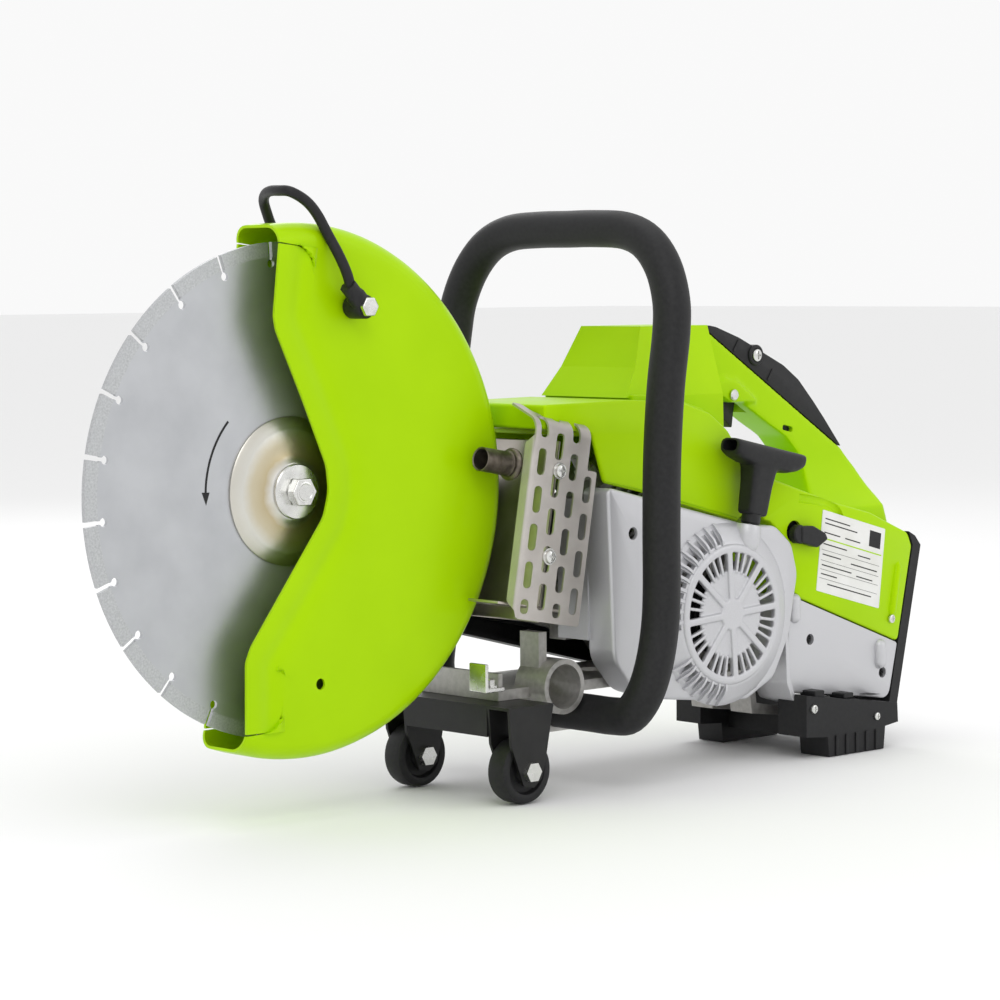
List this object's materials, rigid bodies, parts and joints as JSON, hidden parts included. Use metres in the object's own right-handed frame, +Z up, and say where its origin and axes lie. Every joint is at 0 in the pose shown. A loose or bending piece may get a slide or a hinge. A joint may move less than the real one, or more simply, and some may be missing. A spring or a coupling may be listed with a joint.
{
  "type": "rescue saw",
  "caption": "Petrol disc cutter with a water-fed diamond blade in a tilting green guard, belt arm, recoil starter, loop front handle, rear handle with trigger, wheels and feet.",
  "frame": {"origin": "on the ground, under the middle of the bounding box", "axes": "+X towards the rear handle, +Y towards the belt side, +Z up"},
  "size_m": [0.79, 0.2643, 0.4459],
  "materials": {
    "blade_steel": "ground steel disc with faint circular grinding marks",
    "segment_metal": "sintered diamond matrix, fine and gritty",
    "zinc": "bright zinc plate",
    "green_paint": "lime green gloss coat",
    "silver_paint": "satin silver paint",
    "cast_metal": "die-cast, lightly sand-textured",
    "dark_steel": "oiled dark steel",
    "silencer_metal": "nickel-plated sheet, warm grey",
    "black_rubber": "satin rubber",
    "black_plastic": "moulded, fine-grained",
    "green_plastic": "lime green moulded plastic",
    "white_plastic": "natural polyethylene",
    "filter_paper": "pleated filter paper",
    "red_plastic": "moulded red"
  },
  "bodies": {
    "machine": {"spindle_bearings": "zinc", "guard_retainer": "dark_steel", "drive_arm": "cast_metal", "belt_cover": "black_plastic", "drive_belt": "black_rubber", "main_bearings": "zinc", "crankcase": "cast_metal", "engine_cylinder": "cast_metal", "spark_plug": "white_plastic", "carburettor": "cast_metal", "intake_boot": "black_rubber", "exhaust_pipe": "dark_steel", "muffler_body": "silencer_metal", "exhaust_stub": "silencer_metal", "heat_shield": "silencer_metal", "cover_screws": "zinc", "starter_cover": "silver_paint", "top_cover": "green_plastic", "filter_cover": "green_plastic", "air_filter": "filter_paper", "rear_cover": "green_plastic", "rear_casing": "silver_paint", "fuel_tank": "white_plastic", "back_strip": "black_plastic", "rear_handle": "green_plastic", "grip_insert": "black_plastic", "trigger_pin": "zinc", "front_handle": "black_rubber", "handle_clamp": "cast_metal", "base_frame": "cast_metal", "wheel_bracket": "dark_steel", "axle_bolts": "zinc", "rear_feet": "black_rubber"},
    "blade": {"blade_core": "blade_steel", "blade_segments": "segment_metal", "outer_flange": "zinc", "inner_flange": "zinc", "blade_washer": "zinc", "blade_bolt": "zinc", "spindle": "dark_steel", "driven_pulley": "dark_steel"},
    "drum": {"clutch_drum": "dark_steel"},
    "crank": {"crankshaft": "dark_steel", "flywheel_fan": "cast_metal", "clutch_hub": "dark_steel"},
    "piston": {"piston": "cast_metal"},
    "guard": {"guard": "green_paint", "hose_fittings": "zinc", "water_hose": "black_rubber"},
    "recoil": {"recoil_pulley": "black_plastic"},
    "starter_grip": {"pull_handle": "black_plastic", "starter_rope": "white_plastic"},
    "fuel_cap": {"fuel_cap": "black_plastic"},
    "trigger": {"trigger": "black_plastic"},
    "lockout": {"lockout_lever": "black_plastic"},
    "choke": {"choke_lever": "black_plastic"},
    "stop_switch": {"stop_switch": "red_plastic"},
    "wheel_near": {"wheel_near": "black_rubber"},
    "wheel_far": {"wheel_far": "black_rubber"}
  },
  "joints": [
    {"name": "blade_spin", "type": "hinge", "parent": "machine", "child": "blade", "pos_m": [-0.22, 0, 0.232], "axis": [0, -1, 0], "continuous": true},
    {"name": "drum_spin", "type": "hinge", "parent": "machine", "child": "drum", "pos_m": [0.1485, 0, 0.1227], "axis": [0, -1, 0], "continuous": true},
    {"name": "crank_spin", "type": "hinge", "parent": "machine", "child": "crank", "pos_m": [0.1485, 0, 0.1227], "axis": [0, -1, 0], "continuous": true},
    {"name": "piston_stroke", "type": "slide", "parent": "machine", "child": "piston", "axis": [-0.5736, 0, 0.8192], "range_m": [-0.017, 0.017]},
    {"name": "guard_tilt", "type": "hinge", "parent": "machine", "child": "guard", "pos_m": [-0.22, 0, 0.232], "axis": [0, 1, 0], "range_deg": [-20, 45]},
    {"name": "starter_pull", "type": "slide", "parent": "machine", "child": "starter_grip", "axis": [0.2079, 0, 0.9781], "range_m": [0, 0.1], "stiffness_N_per_m": 60},
    {"name": "recoil_turn", "type": "hinge", "parent": "machine", "child": "recoil", "pos_m": [0.1485, -0.072, 0.1227], "axis": [0, -1, 0], "range_deg": [0, 210]},
    {"name": "fuel_cap_turn", "type": "hinge", "parent": "machine", "child": "fuel_cap", "pos_m": [0.3, 0.06, 0.084], "axis": [0, 1, 0], "range_deg": [0, 360]},
    {"name": "trigger_squeeze", "type": "hinge", "parent": "machine", "child": "trigger", "pos_m": [0.219, 0, 0.287], "axis": [0, -1, 0], "range_deg": [0, 14], "stiffness_Nm_per_rad": 0.3, "springref_deg": -5.73},
    {"name": "lockout_press", "type": "hinge", "parent": "machine", "child": "lockout", "pos_m": [0.286, 0, 0.301], "axis": [0, 1, 0], "range_deg": [0, 8], "stiffness_Nm_per_rad": 0.4, "springref_deg": -5.73},
    {"name": "choke_turn", "type": "hinge", "parent": "machine", "child": "choke", "pos_m": [0.24, -0.07, 0.178], "axis": [0, -1, 0], "range_deg": [-25, 40]},
    {"name": "stop_slide", "type": "slide", "parent": "machine", "child": "stop_switch", "axis": [0, 0, 1], "range_m": [0, 0.007]},
    {"name": "wheel_near_spin", "type": "hinge", "parent": "machine", "child": "wheel_near", "pos_m": [-0.0616, -0.068, 0.024], "axis": [0, 1, 0], "continuous": true},
    {"name": "wheel_far_spin", "type": "hinge", "parent": "machine", "child": "wheel_far", "pos_m": [-0.0616, 0.046, 0.024], "axis": [0, 1, 0], "continuous": true}
  ],
  "couplings": [
    {"joint": "drum_spin", "follows": "blade_spin", "ratio": 1.9643},
    {"joint": "recoil_turn", "follows": "starter_pull", "rad_per_m": 35.714}
  ]
}
